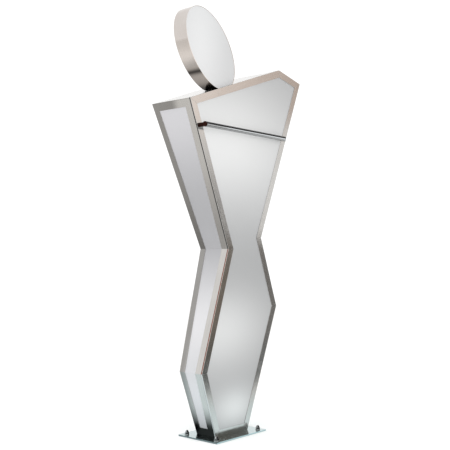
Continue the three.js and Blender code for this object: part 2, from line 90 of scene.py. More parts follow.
# a soft round falloff about a centre: 1 there, fading out over the reach along each axis
def fadeAround(tree, place, centre, sharpness):
    away = add(tree, "VectorMath", {"operation": "SUBTRACT"}, {0: place, 1: centre}).outputs[0]
    away = add(tree, "VectorMath", {"operation": "MULTIPLY"}, {0: away, 1: sharpness}).outputs[0]
    square = add(tree, "VectorMath", {"operation": "DOT_PRODUCT"}, {0: away, 1: away}).outputs["Value"]
    square = add(tree, "Math", {"operation": "MULTIPLY"}, {0: square, 1: -1.0}).outputs[0]
    return add(tree, "Math", {"operation": "EXPONENT"}, {0: square}).outputs[0]


def emptyMaterial(name):
    material = bpy.data.materials.new(name)
    material.use_nodes = True
    material.node_tree.nodes.clear()
    return material, material.node_tree


noiseLow, noiseHigh = 0.3, 0.7            # most of a noise texture's values lie between these

# Every metal is brushed or polished along the "grain" direction held by its mesh: streaks in the
# colour, the roughness and the bump, slow clouds in the colour, smudges, gently uneven sheet, and
# worn edges. The lengths streak (long, wide), waveSize and crystal are in millimetres. The streaks
# are drawn coarser than real brushing, which is about 0.2 mm. The painted shades and painted spots
# are in metres. They are painted reflections, which darken the metal, or brighten it where the depth
# is negative, in place of what it would reflect in a furnished room.
metals = {
    "brushed_skin": {
        "name": "stainless sheet, satin brushed and waxed",     # soft, directional grey sheen
        "colour": "#c9c7c4", "cloud": "#bab7b3", "edge": "#dddbd8", "roughness": (0.12, 0.21),
        "anisotropy": 0.55, "streak": (90, 1.6), "streakDepth": 0.12,
        "wave": 0.18, "waveSize": 140, "smudge": 0.05,
        # painted shade: faces turned sideways grow darker towards the foot and, less so, towards the rear, in
        # place of dark reflections
        "paintedShades": [{"axis": "Z", "from": 0.15, "to": 0.035, "depth": 0.95},
                  {"axis": "Y", "from": 0.015, "to": 0.07, "depth": 0.45}],
    },
    "polished_rim": {
        "name": "stainless band, rolled and buffed",            # clear but softened reflections
        "colour": "#cdc8c4", "cloud": "#bfb6b0", "edge": "#e2dedb", "roughness": (0.06, 0.12),
        "anisotropy": 0.35, "streak": (70, 1.2), "streakDepth": 0.06,
        "wave": 0.3, "waveSize": 60, "smudge": 0.05,
        # painted reflections: one brighter spot and two dark spots, placed from the low left corner of the
        # rim's box
        "paintedSpots": [{"node": "head_rim", "at": (0.045, 0.11), "reach": (0.045, 0.05), "depth": -0.35},
                   {"node": "head_rim", "at": (0.09, 0.06), "reach": (0.017, 0.012), "depth": 0.85},
                   {"node": "head_rim", "at": (0.185, 0.0), "reach": (0.05, 0.024), "depth": 0.93}],
    },
    "polished_base": {
        "name": "stainless plate, ground and mirror polished",  # cool mirror with hairline scratches
        "colour": "#bac8c8", "cloud": "#a9b9ba", "edge": "#dfe8e8", "roughness": (0.12, 0.24),
        "anisotropy": 0.2, "streak": (45, 0.9), "streakDepth": 0.08,
        "wave": 0.2, "waveSize": 90, "smudge": 0.1,
        "paintedShades": [{"axis": "Z", "from": 0.03, "to": 0.02, "depth": 0.6}],     # painted shade on its two short ends
    },
    "polished_fixings": {
        "name": "stainless fixings, turned and polished",       # small bright highlights, dark edges
        "colour": "#c4c5c5", "cloud": "#aeb0b1", "edge": "#e6e6e5", "roughness": (0.08, 0.2),
        "anisotropy": 0.3, "streak": (6, 0.5), "streakDepth": 0.1,
        "wave": 0.0, "waveSize": 20, "smudge": 0.08,
    },
    "chrome_rail": {
        "name": "steel tube, chrome plated",                    # near perfect mirror, bluish
        "colour": "#dfe2e4", "cloud": "#d2d6d9", "edge": "#f2f3f3", "roughness": (0.03, 0.07),
        "anisotropy": 0.0, "streak": (60, 1.0), "streakDepth": 0.02,
        "wave": 0.0, "waveSize": 60, "smudge": 0.04,
    },
    "dark_bronze": {
        "name": "brass bar, turned and chemically darkened",    # red-brown, rubbed bright at the edges
        "colour": "#3d221b", "cloud": "#20110e", "edge": "#8a5c43", "roughness": (0.22, 0.4),
        "anisotropy": 0.3, "streak": (4, 0.4), "streakDepth": 0.15,
        "wave": 0.0, "waveSize": 20, "smudge": 0.1,
    },
    "zinc_steel": {
        "name": "mild steel, zinc plated",                      # dull blue-grey with crystal patches
        "colour": "#a9afb4", "cloud": "#8f979d", "edge": "#c9ced2", "roughness": (0.32, 0.5),
        "anisotropy": 0.1, "streak": (25, 1.5), "streakDepth": 0.08,
        "wave": 0.1, "waveSize": 60, "smudge": 0.12, "crystal": 14,
    },
    "lamp_tray": {
        "name": "aluminium sheet, mill finish",                 # pale grey with rolling lines
        "colour": "#cfd1d2", "cloud": "#bfc2c4", "edge": "#e5e6e6", "roughness": (0.28, 0.42),
        "anisotropy": 0.4, "streak": (60, 1.2), "streakDepth": 0.1,
        "wave": 0.1, "waveSize": 60, "smudge": 0.08,
    },
}
# what all the metals share
metalPattern = {
    "cloudsPerMetre": 7.0, "smudgesPerMetre": 26.0,
    "streakRange": (0.25, 0.75),          # the noise values between which the streaks shade the colour
    "streakShade": (0.93, 1.06),          # from the darkest streak to the brightest
    "crystalShare": 0.55,                 # how much of the clouds the crystal patches take over
    "smudgeRange": (0.5, 0.75),           # the noise values between which a smudge sets in
    "wear": 1.3,                          # how far the broken edges are rubbed bright
    "sideways": (0.4, 0.6),               # how far a face is turned sideways as its painted shade sets in
    "waveHeight": 0.003, "streakHeight": 0.0002,
}


# the place on the piece, squeezed along the grain, so that a noise read there comes out as streaks
def alongGrain(tree, place, grain, streak):
    streakLong, streakWide = (1000 / size for size in streak)
    along = add(tree, "VectorMath", {"operation": "DOT_PRODUCT"}, {0: place, 1: grain}).outputs["Value"]
    squeeze = add(tree, "Math", {"operation": "MULTIPLY"}, {0: along, 1: streakWide - streakLong}).outputs[0]
    shift = add(tree, "VectorMath", {"operation": "SCALE"}, {0: grain, "Scale": squeeze}).outputs[0]
    spread = add(tree, "VectorMath", {"operation": "SCALE"}, {0: place, "Scale": streakWide}).outputs[0]
    return add(tree, "VectorMath", {"operation": "SUBTRACT"}, {0: spread, 1: shift}).outputs[0]


# the share of the colour that is kept where a painted shade lies, on the faces turned sideways
def keptByPaintedShades(tree, place, paintedShades, kept):
    normal = add(tree, "NewGeometry").outputs["True Normal"]
    facing = add(tree, "VectorMath", {"operation": "DOT_PRODUCT"},
                 {0: normal, 1: (1.0, 0.0, 0.0)}).outputs["Value"]
    sideways = add(tree, "Math", {"operation": "ABSOLUTE"}, {0: facing}).outputs[0]
    start, full = metalPattern["sideways"]
    sideways = add(tree, "MapRange", None, {0: sideways, 1: start, 2: full}).outputs[0]
    axes = add(tree, "SeparateXYZ", None, {0: place}).outputs
    for tint in paintedShades:
        darker = add(tree, "MapRange", {"interpolation_type": "SMOOTHSTEP"},
                     {0: axes[tint["axis"]], 1: tint["from"], 2: tint["to"],
                      3: 0.0, 4: -tint["depth"]}).outputs[0]
        left = add(tree, "Math", {"operation": "MULTIPLY_ADD"}, {0: darker, 1: sideways, 2: 1.0}).outputs[0]
        kept = add(tree, "Math", {"operation": "MULTIPLY"}, {0: kept, 1: left}).outputs[0]
    return kept


# the share that is kept round each painted reflection spot
def keptByPaintedSpots(tree, place, paintedSpots, kept):
    for paintedSpot in paintedSpots:
        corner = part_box(paintedSpot["node"])[0]
        spot = [corner[0] + paintedSpot["at"][0], 0.0, corner[2] + paintedSpot["at"][1]]
        fade = fadeAround(tree, place, spot, [1 / paintedSpot["reach"][0], 0.0, 1 / paintedSpot["reach"][1]])
        left = add(tree, "Math", {"operation": "MULTIPLY_ADD"},
                   {0: fade, 1: -paintedSpot["depth"], 2: 1.0}).outputs[0]
        kept = add(tree, "Math", {"operation": "MULTIPLY"}, {0: kept, 1: left}).outputs[0]
    return kept


def metal(look):
    shared = metalPattern
    material, tree = emptyMaterial(look["name"])
    place = add(tree, "TexCoord").outputs["Object"]
    grain = add(tree, "Attribute", {"attribute_name": "grain"}).outputs["Vector"]
    edge = add(tree, "Attribute", {"attribute_name": "edge"}).outputs["Fac"]
    painted_reflection = add(tree, "Attribute", {"attribute_name": "painted_reflection"}).outputs["Fac"]
    stretched = alongGrain(tree, place, grain, look["streak"])
    streak = add(tree, "TexNoise", None,
                 {"Vector": stretched, "Scale": 1.0, "Detail": 4.0, "Roughness": 0.6}).outputs["Fac"]
    cloud = add(tree, "TexNoise", None,
                {"Vector": place, "Scale": shared["cloudsPerMetre"], "Detail": 3.0}).outputs["Fac"]
    smudge = add(tree, "TexNoise", None, {"Vector": place, "Scale": shared["smudgesPerMetre"],
                                          "Detail": 4.0, "Distortion": 0.6}).outputs["Fac"]
    if "crystal" in look:
        cells = add(tree, "TexVoronoi", None,
                    {"Vector": place, "Scale": 1000 / look["crystal"]}).outputs["Color"]
        patch = add(tree, "SeparateColor", None, {"Color": cells}).outputs["Red"]
        cloud = add(tree, "Mix", None, {0: shared["crystalShare"], 2: cloud, 3: patch}).outputs[0]

    colour = add(tree, "Mix", {"data_type": "RGBA"},
                 {0: cloud, 6: linear(look["colour"]), 7: linear(look["cloud"])}).outputs[2]
    low, high = shared["streakRange"]
    dark, bright = shared["streakShade"]
    fine = add(tree, "MapRange", None, {0: streak, 1: low, 2: high, 3: dark, 4: bright}).outputs[0]
    colour = add(tree, "VectorMath", {"operation": "SCALE"}, {0: colour, "Scale": fine}).outputs[0]
    # the share of the colour kept after the painted reflections, painted shades and painted spots
    kept = add(tree, "Math", {"operation": "SUBTRACT"}, {0: 1.0, 1: painted_reflection}).outputs[0]
    if "paintedShades" in look:
        kept = keptByPaintedShades(tree, place, look["paintedShades"], kept)
    if "paintedSpots" in look:
        kept = keptByPaintedSpots(tree, place, look["paintedSpots"], kept)
    colour = add(tree, "VectorMath", {"operation": "SCALE"}, {0: colour, "Scale": kept}).outputs[0]
    worn = add(tree, "Math", {"operation": "MULTIPLY"}, {0: edge, 1: smudge}).outputs[0]
    worn = add(tree, "Math", {"operation": "MULTIPLY", "use_clamp": True},
               {0: worn, 1: shared["wear"]}).outputs[0]
    colour = add(tree, "Mix", {"data_type": "RGBA"}, {0: worn, 6: colour, 7: linear(look["edge"])}).outputs[2]

    low, high = look["roughness"]
    rough = add(tree, "MapRange", None, {0: streak, 1: noiseLow, 2: noiseHigh, 3: low, 4: high}).outputs[0]
    low, high = shared["smudgeRange"]
    greasy = add(tree, "MapRange", None, {0: smudge, 1: low, 2: high, 3: 0.0, 4: look["smudge"]}).outputs[0]
    rough = add(tree, "Math", {"operation": "ADD"}, {0: rough, 1: greasy}).outputs[0]

    wave = add(tree, "TexNoise", None,
               {"Vector": place, "Scale": 1000 / look["waveSize"], "Detail": 0.0}).outputs["Fac"]
    uneven = add(tree, "Bump", None, {"Height": wave, "Strength": look["wave"],
                                      "Distance": shared["waveHeight"]}).outputs[0]
    scratched = add(tree, "Bump", None, {"Height": streak, "Strength": look["streakDepth"],
                                         "Distance": shared["streakHeight"], "Normal": uneven}).outputs[0]
    shader = add(tree, "BsdfPrincipled", None, {
        "Base Color": colour, "Metallic": 1.0, "Roughness": rough, "Anisotropic": look["anisotropy"],
        "Tangent": grain, "Normal": scratched})
    add(tree, "OutputMaterial", None, {"Surface": shader.outputs[0]})
    return material


# grit: the size of the moulded or cut texture in millimetres; depth: how strongly it shows
plastics = {
    "lamp_board": {
        "name": "glass-epoxy board, white solder mask", "colour": "#eeede6", "cloud": "#e2e0d6",
        "roughness": (0.3, 0.45), "grit": 3, "depth": 0.05, "edge": "#cfc7a8",      # white, tan edges
    },
    "driver_case": {
        "name": "ABS case, injection moulded", "colour": "#e9e8e2", "cloud": "#dedcd3",
        "roughness": (0.42, 0.58), "grit": 1.2, "depth": 0.2, "edge": "#f4f3ee",    # fine even texture
    },
    "black_plastic": {
        "name": "nylon, injection moulded", "colour": "#232325", "cloud": "#191a1b",
        "roughness": (0.4, 0.6), "grit": 1.0, "depth": 0.25, "edge": "#3a3a3c",     # dull black
    },
    "amber_reflection_seal": {
        "name": "silicone seal, amber painted reflection", "colour": "#8c4020", "cloud": "#75361f",
        "roughness": (0.35, 0.5), "grit": 2.0, "depth": 0.1, "edge": "#9a5530",     # painted warm reflection in the joint
    },
    "pale_reflection_seal": {
        "name": "silicone seal, pale grey painted light", "colour": "#c3cccd", "cloud": "#b4bdbf",
        "roughness": (0.35, 0.5), "grit": 2.0, "depth": 0.1, "edge": "#d0d6d7",     # painted light, so the joint shows no shade
    },
    "wire": {
        "name": "PVC sheath, extruded", "colour": "#202022", "cloud": "#161617",
        "roughness": (0.35, 0.55), "grit": 2.0, "depth": 0.15, "edge": "#333335",   # soft black sheen
    },
}
plasticPattern = {"cloudsPerMetre": 22.0, "gritHeight": 0.0003}


def plastic(look):
    material, tree = emptyMaterial(look["name"])
    place = add(tree, "TexCoord").outputs["Object"]
    edge = add(tree, "Attribute", {"attribute_name": "edge"}).outputs["Fac"]
    cloud = add(tree, "TexNoise", None,
                {"Vector": place, "Scale": plasticPattern["cloudsPerMetre"], "Detail": 4.0}).outputs["Fac"]
    grit = add(tree, "TexNoise", None,
               {"Vector": place, "Scale": 1000 / look["grit"], "Detail": 2.0}).outputs["Fac"]
    colour = add(tree, "Mix", {"data_type": "RGBA"},
                 {0: cloud, 6: linear(look["colour"]), 7: linear(look["cloud"])}).outputs[2]
    colour = add(tree, "Mix", {"data_type": "RGBA"}, {0: edge, 6: colour, 7: linear(look["edge"])}).outputs[2]
    low, high = look["roughness"]
    rough = add(tree, "MapRange", None, {0: cloud, 1: noiseLow, 2: noiseHigh, 3: low, 4: high}).outputs[0]
    bump = add(tree, "Bump", None, {"Height": grit, "Strength": look["depth"],
                                    "Distance": plasticPattern["gritHeight"]}).outputs[0]
    shader = add(tree, "BsdfPrincipled", None, {
        "Base Color": colour, "Roughness": rough, "IOR": 1.5, "Normal": bump})
    add(tree, "OutputMaterial", None, {"Surface": shader.outputs[0]})
    return material


# Each lamp throws a soft pool on the inside of the sheets: the shift of its middle from the lamp
# and its reach, in metres (sideways, upwards), and its brightness.
frontPools = {
    "chest": {"board": "lamp_board_chest", "shift": (-0.10, -0.01), "reach": (0.58, 0.29),
              "glow": 0.39, "tint": "#fffffd"},
    "thigh": {"board": "lamp_board_thigh", "shift": (-0.10, 0.03), "reach": (0.30, 0.17),
              "glow": 0.31, "tint": "#fefffd"},
    "foot": {"board": "lamp_board_foot", "shift": (-0.01, 0.005), "reach": (0.14, 0.085),
             "glow": 0.30, "tint": "#f8fffd"},
}
sidePools = {
    "chest": {"board": "lamp_board_chest", "shift": (-0.2, 0.11), "reach": (0.6, 0.24),
              "glow": 0.22, "tint": "#fffcff"},
    "thigh": {"board": "lamp_board_thigh", "shift": (-0.1, 0.05), "reach": (0.6, 0.23),
              "glow": 0.33, "tint": "#fffefe"},
    "foot": {"board": "lamp_board_foot", "shift": (-0.1, 0.06), "reach": (0.6, 0.13),
             "glow": 0.22, "tint": "#eefaff"},
}
facePools = {
    "left side of the head": {"board": "head_lamp", "shift": (-0.07, 0.0), "reach": (0.15, 0.3),
                              "glow": 0.17, "tint": "#fffffe"},
}
# even: the glow that a sheet has all over, besides its pools
opals = {
    "body_opal": {
        "name": "opal acrylic sheet, satin on the outside",         # milky, with soft lamp pools
        "colour": "#a4a5a6", "cloud": "#9e9fa0", "edge": "#d9dcdc", "roughness": (0.3, 0.42),
        "grit": 1.6, "depth": 0.06, "pools": frontPools, "even": 0.0,
    },
    "side_opal": {
        "name": "opal acrylic sheet, folded hot with the skin",     # as milky, with wider pools
        "colour": "#a4a4a7", "cloud": "#9e9ea1", "edge": "#d9dcdc", "roughness": (0.3, 0.42),
        "grit": 1.6, "depth": 0.06, "pools": sidePools, "even": 0.0,
    },
    "head_opal": {
        "name": "opal acrylic sheet, cut oval and satin polished",  # a nearly even white disc
        "colour": "#b4b5b6", "cloud": "#adaeaf", "edge": "#e8eaea", "roughness": (0.28, 0.4),
        "grit": 1.6, "depth": 0.05, "pools": facePools, "even": 0.09,
    },
}
opalPattern = {
    "cloudsPerMetre": 3.5, "cloudGlow": (0.97, 1.03),      # how far the clouds dim and brighten the glow
    "gritHeight": 0.0003,
}


def opal(look):
    material, tree = emptyMaterial(look["name"])
    place = add(tree, "TexCoord").outputs["Object"]
    edge = add(tree, "Attribute", {"attribute_name": "edge"}).outputs["Fac"]
    cloud = add(tree, "TexNoise", None,
                {"Vector": place, "Scale": opalPattern["cloudsPerMetre"], "Detail": 4.0}).outputs["Fac"]
    grit = add(tree, "TexNoise", None,
               {"Vector": place, "Scale": 1000 / look["grit"], "Detail": 3.0}).outputs["Fac"]
    colour = add(tree, "Mix", {"data_type": "RGBA"},
                 {0: cloud, 6: linear(look["colour"]), 7: linear(look["cloud"])}).outputs[2]
    colour = add(tree, "Mix", {"data_type": "RGBA"}, {0: edge, 6: colour, 7: linear(look["edge"])}).outputs[2]
    dim, bright = opalPattern["cloudGlow"]
    uneven = add(tree, "MapRange", None, {0: cloud, 1: noiseLow, 2: noiseHigh, 3: dim, 4: bright}).outputs[0]
    light = add(tree, "RGB").outputs[0]
    light.default_value = [look["even"]] * 3 + [1.0]
    for pool in look["pools"].values():
        low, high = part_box(pool["board"])
        centre = [(low[0] + high[0]) / 2 + pool["shift"][0], 0.0, (low[2] + high[2]) / 2 + pool["shift"][1]]
        fade = fadeAround(tree, place, centre, [1 / pool["reach"][0], 0.0, 1 / pool["reach"][1]])
        glow = [channel * pool["glow"] for channel in linear(pool["tint"])[:3]]
        lit = add(tree, "VectorMath", {"operation": "SCALE"}, {0: glow, "Scale": fade}).outputs[0]
        light = add(tree, "VectorMath", {"operation": "ADD"}, {0: light, 1: lit}).outputs[0]
    light = add(tree, "VectorMath", {"operation": "SCALE"}, {0: light, "Scale": uneven}).outputs[0]
    low, high = look["roughness"]
    rough = add(tree, "MapRange", None, {0: grit, 1: noiseLow, 2: noiseHigh, 3: low, 4: high}).outputs[0]
    bump = add(tree, "Bump", None, {"Height": grit, "Strength": look["depth"],
                                    "Distance": opalPattern["gritHeight"]}).outputs[0]
    shader = add(tree, "BsdfPrincipled", None, {
        "Base Color": colour, "Roughness": rough, "IOR": 1.49, "Normal": bump,
        "Emission Color": light, "Emission Strength": 1.0})
    add(tree, "OutputMaterial", None, {"Surface": shader.outputs[0]})
    return material


finishes = {name: metal(look) for name, look in metals.items()}
finishes.update({name: plastic(look) for name, look in plastics.items()})
finishes.update({name: opal(look) for name, look in opals.items()})
print("materials made:", len(finishes))


# edge: the width of the broken edge; crease: how sharp a corner must be to get one, in degrees
edges = {
    "default": {"edge": 0.0004, "crease": 24},
    "base_plate": {"edge": 0.0008, "crease": 40},
    "anchor_washer": {"edge": 0.0004, "crease": 40},
    "chest_rail": {"edge": 0.0006, "crease": 40},
    "rail_pin": {"edge": 0.0008, "crease": 40},
    "head_rim": {"edge": 0.0005, "crease": 30},
    "head_face": {"edge": 0.0008, "crease": 30},
    "lamp_driver": {"edge": 0.0015, "crease": 40},
    "supply_lead": {"edge": 0.0, "crease": 60},
    "lamp_lead": {"edge": 0.0, "crease": 60},
}
# how the CAD meshes are cleaned, broken at the edges and shaded
meshing = {
    "weld": 0.00001,               # corners closer than this become one
    "flat": 0.6,                   # faces that meet at less than this angle become one, in degrees
    "shortest": 3,                 # an edge is broken if it is longer than this many widths of the break
    "segments": 2, "roundness": 0.6,
    "soft": 38,                    # corners below this angle are shaded smooth, in degrees
    "frontish": 0.8,               # a face that looks further than this to the front or back is one of them
}
# Painted reflections: how much darker a face is, by how far it looks one way (about 1 straight that
# way, -1 straight away): the first step that it looks further than. The rail is painted black on top,
# bright along its front and greyer beneath, and the bolts are painted dark on the side that looks
# forwards and to the right, in place of dark reflections.
paintedReflectionSteps = {
    "chest_rail": {"way": (0, 0, 1), "steps": [(0.0, 0.99), (-0.4, 0.12), (-0.75, 0.4), (-2, 0.55)]},
    "anchor_bolt": {"way": (0.66, -0.75, -0.2),
                    "steps": [(0.1, 0.97), (-0.25, 0.85), (-0.5, 0.35), (-2, 0.05)]},
}
outward, rightward = Vector((0, -1, 0)), Vector((1, 0, 0))


def settingFor(name):
    return next((look for key, look in edges.items() if name.startswith(key)), edges["default"])


# the welded CAD mesh without its inner triangulation
def cleanCopy(name):
    work = bmesh.new()
    work.from_mesh(nodes[name].data)
    bmesh.ops.remove_doubles(work, verts=work.verts, dist=meshing["weld"])
    bmesh.ops.dissolve_limit(work, angle_limit=radians(meshing["flat"]), verts=work.verts, edges=work.edges)
    return work


# breaks the sharp edges and marks the new narrow faces in the edge layer
def breakEdges(work, width, crease):
    edgeLayer = work.faces.layers.float.new("edge")
    if width:
        sharp = [e for e in work.edges if len(e.link_faces) == 2 and e.calc_face_angle(0) > radians(crease)
                 and e.calc_length() > meshing["shortest"] * width]
        made = bmesh.ops.bevel(work, geom=sharp, offset=width, offset_type="OFFSET",
                               segments=meshing["segments"], profile=meshing["roundness"],
                               affect="EDGES", clamp_overlap=True)
        for face in made["faces"]:
            face[edgeLayer] = 1.0


# the grain runs up the front and the back, and round the outline on the other faces
def grainOf(normal):
    isRound = abs(normal.y) < meshing["frontish"]
    return normal.cross(outward if isRound else rightward).normalized()


# writes each face's grain and painted reflection, and makes the piece; a grain that is already there can be
# kept
def finishMesh(work, name, keepGrain=False, paintedSteps=None):
    grainLayer = work.faces.layers.float_vector.get("grain") or work.faces.layers.float_vector.new("grain")
    paintedReflectionLayer = work.faces.layers.float.get("painted_reflection") or work.faces.layers.float.new("painted_reflection")
    work.normal_update()
    for face in work.faces:
        face.smooth = True
        if not keepGrain or face[grainLayer].length < 0.1:
            face[grainLayer] = grainOf(face.normal)
        if paintedSteps:
            turned = face.normal.dot(Vector(paintedSteps["way"]))
            face[paintedReflectionLayer] = next(darker for above, darker in paintedSteps["steps"] if turned > above)
    for e in work.edges:
        e.smooth = len(e.link_faces) == 2 and e.calc_face_angle(0) < radians(meshing["soft"])
    mesh = bpy.data.meshes.new(name)
    work.to_mesh(mesh)
    work.free()
    piece = bpy.data.objects.new(name, mesh)
    scene.collection.objects.link(piece)
    weight = piece.modifiers.new("flat faces stay flat", "WEIGHTED_NORMAL")
    weight.keep_sharp = True
    return piece


# gives the piece its finish and puts it in the place of its CAD node
def standIn(piece, node):
    slot = nodes[node].data.materials[0].name.split(".")[0]
    finish = "side_opal" if node in ("left_diffuser", "right_diffuser") else slot
    piece.data.materials.clear()
    piece.data.materials.append(finishes[finish])
    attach(piece, bodyOf[node])
    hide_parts(node)


# a flat ring of corners drawn out between two depths
def drawOut(work, ring, depths):
    levels = [[work.verts.new((p.x, y, p.z)) for p in ring] for y in depths]
    work.faces.new(levels[0])
    work.faces.new(list(reversed(levels[1])))
    for n in range(len(ring)):
        m = (n + 1) % len(ring)
        work.faces.new((levels[0][m], levels[0][n], levels[1][n], levels[1][m]))


cover = {
    "sheet": 0.002,                # thickness of the face plate
    "mitre": 0.0003,               # half of the hairline joint between two strips
    "edge": 0.0005, "flangeEdge": 0.0003, "crease": 40,
    "level": 0.0001,               # how near the foremost point a face counts as the face plate
    "facing": 0.99,                # and how squarely it has to look forwards
    "turn": 3,                     # where the outline turns more than this there is a corner, in degrees
}
# The strips in the joint behind the face plate follow the outline's sides. On the left their
# colour changes from part to part, as painted shade and painted light: black above, amber at the
# knee, pale grey at the foot. On the right they are all like the upper part.
seal = {
    "starts": {"upper": 0.9, "knee": 0.4},                          # by the strip's middle; the rest is foot
    "outer": {"upper": 0.0012, "knee": 0.0009, "foot": 0.0001},     # how far inside the outline it begins
    "inner": 0.0055,                                                # and ends
    "clear": 0.0001, "thick": 0.0044,                               # measured from behind the face plate
    "edge": 0.0006, "crease": 40,
    # black is painted shade in the joint, amber a painted reflection and pale grey painted light
    "finish": {"upper": "black_plastic", "knee": "amber_reflection_seal", "foot": "pale_reflection_seal"},
    "flattest": 0.9,               # a stretch that runs more across than this gets no strip
}


def ringLength(ring):
    return sum(hypot(ring[i][0] - ring[i - 1][0], ring[i][1] - ring[i - 1][1]) for i in range(len(ring)))


# the loops of a flat front: corner points (x, z) of each boundary, longest first
def frontLoops(name):
    work = cleanCopy(name)
    front = min(v.co.y for v in work.verts)
    faces = {f for f in work.faces
             if f.normal.y < -cover["facing"] and abs(f.calc_center_median().y - front) < cover["level"]}
    follow = {}
    for f in faces:
        for loop in f.loops:
            if not any(other in faces for other in loop.edge.link_faces if other is not f):
                follow[loop.vert.index] = loop.link_loop_next.vert.index
    points = {v.index: (v.co.x, v.co.z) for v in work.verts}
    work.free()
    loops = []
    while follow:
        here = next(iter(follow))
        ring = []
        while here in follow:
            ring.append(points[here])
            here = follow.pop(here)
        loops.append(ring)
    return sorted(loops, key=lambda ring: -ringLength(ring))[:2], front


# corners only: points where the outline turns, in order, with the lower left one as the second
def cornersOf(ring):
    kept = []
    for i, here in enumerate(ring):
        before, after = ring[i - 1], ring[(i + 1) % len(ring)]
        a = atan2(here[1] - before[1], here[0] - before[0])
        b = atan2(after[1] - here[1], after[0] - here[0])
        if abs((b - a + pi) % (2 * pi) - pi) > radians(cover["turn"]):
            kept.append(here)
    lowerLeft = kept.index(min(kept, key=sum))
    return kept[lowerLeft - 1:] + kept[:lowerLeft - 1]


# a strip of seal along one straight stretch of the outline
def makeSeal(name, start, end, front, part):
    along = (end - start).normalized()
    inwards = Vector((-along.z, 0, along.x))
    outer, inner = inwards * seal["outer"][part], inwards * seal["inner"]
    behind = front + cover["sheet"]
    work = bmesh.new()
    drawOut(work, [start + outer, end + outer, end + inner, start + inner],
            (behind + seal["clear"], behind + seal["thick"]))
    bmesh.ops.recalc_face_normals(work, faces=work.faces)
    breakEdges(work, seal["edge"], seal["crease"])
    piece = finishMesh(work, name)
    piece.data.materials.append(finishes[seal["finish"][part]])
    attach(piece, "front_cover")


def makeSeals(outer, front):
    points = [Vector((x, 0, z)) for x, z in outer]
    for i, start in enumerate(points):
        end = points[(i + 1) % len(points)]
        along = (end - start).normalized()
        if abs(along.x) > seal["flattest"]:
            continue
        middle = (start.z + end.z) / 2
        part = next((part for part, above in seal["starts"].items() if middle > above), "foot")
        onLeft = along.z < 0
        makeSeal("joint_seal_%d_%s" % (i, part), start, end, front, part if onLeft else "upper")


# the face plate as mitred strips, the seals behind it, and the rest of the frame as its flange
def makeCoverFrame():
    (outerRing, innerRing), front = frontLoops("front_cover_frame")
    outer = cornersOf(outerRing)
    inner = [min(cornersOf(innerRing), key=lambda p: hypot(p[0] - o[0], p[1] - o[1])) for o in outer]
    work = bmesh.new()
    grains = []
    for i in range(len(outer)):
        j = (i + 1) % len(outer)
        start, end, startInner, endInner = (
            Vector((x, 0, z)) for x, z in (outer[i], outer[j], inner[i], inner[j]))
        along = (end - start).normalized()
        gap = along * cover["mitre"]
        drawOut(work, [start + gap, end - gap, endInner - gap, startInner + gap],
                (front, front + cover["sheet"]))
        grains.append(along)
    bmesh.ops.recalc_face_normals(work, faces=work.faces)
    grainLayer = work.faces.layers.float_vector.new("grain")
    facesEach = len(work.faces) // len(grains)
    for n, face in enumerate(work.faces):
        face[grainLayer] = grains[n // facesEach]
    breakEdges(work, cover["edge"], cover["crease"])
    standIn(finishMesh(work, "cover_face_plate", keepGrain=True), "front_cover_frame")

    makeSeals(outer, front)
    rear = cleanCopy("front_cover_frame")
    geometry = list(rear.verts) + list(rear.edges) + list(rear.faces)
    bmesh.ops.bisect_plane(rear, geom=geometry, plane_co=(0, front + cover["sheet"], 0),
                           plane_no=(0, 1, 0), clear_inner=True)
    breakEdges(rear, cover["flangeEdge"], cover["crease"])
    standIn(finishMesh(rear, "cover_return_flange"), "front_cover_frame")


anchorBolt = {
    "sides": 6, "flat": 0.0085,                       # from the middle to a flat of the hexagon
    "hexTall": 0.0072, "chamfer": 0.001,
    "domeRadius": 0.0079, "domeSteps": 12,
    "collarTall": 0.0006, "collarSlope": 0.0004,      # the collar under the dome, and how far it draws in
    "shankRadius": 0.005, "segments": 48,
    "overWasher": 0.0003,
}


# a profile of (radius, height) turned about an upright axis, with its ends on the axis
def turnedOn(work, profile, x, y, segments):
    rings = []
    for radius, z in profile:
        if radius == 0:
            rings.append([work.verts.new((x, y, z))])
        else:
            turns = [2 * pi * n / segments for n in range(segments)]
            circle = [(x + radius * cos(turn), y + radius * sin(turn), z) for turn in turns]
            rings.append([work.verts.new(point) for point in circle])
    for low, high in zip(rings, rings[1:]):
        for n in range(segments):
            m = (n + 1) % segments
            if len(high) == 1:
                work.faces.new((low[n], low[m], high[0]))
            elif len(low) == 1:
                work.faces.new((low[0], high[m], high[n]))
            else:
                work.faces.new((low[n], low[m], high[m], high[n]))


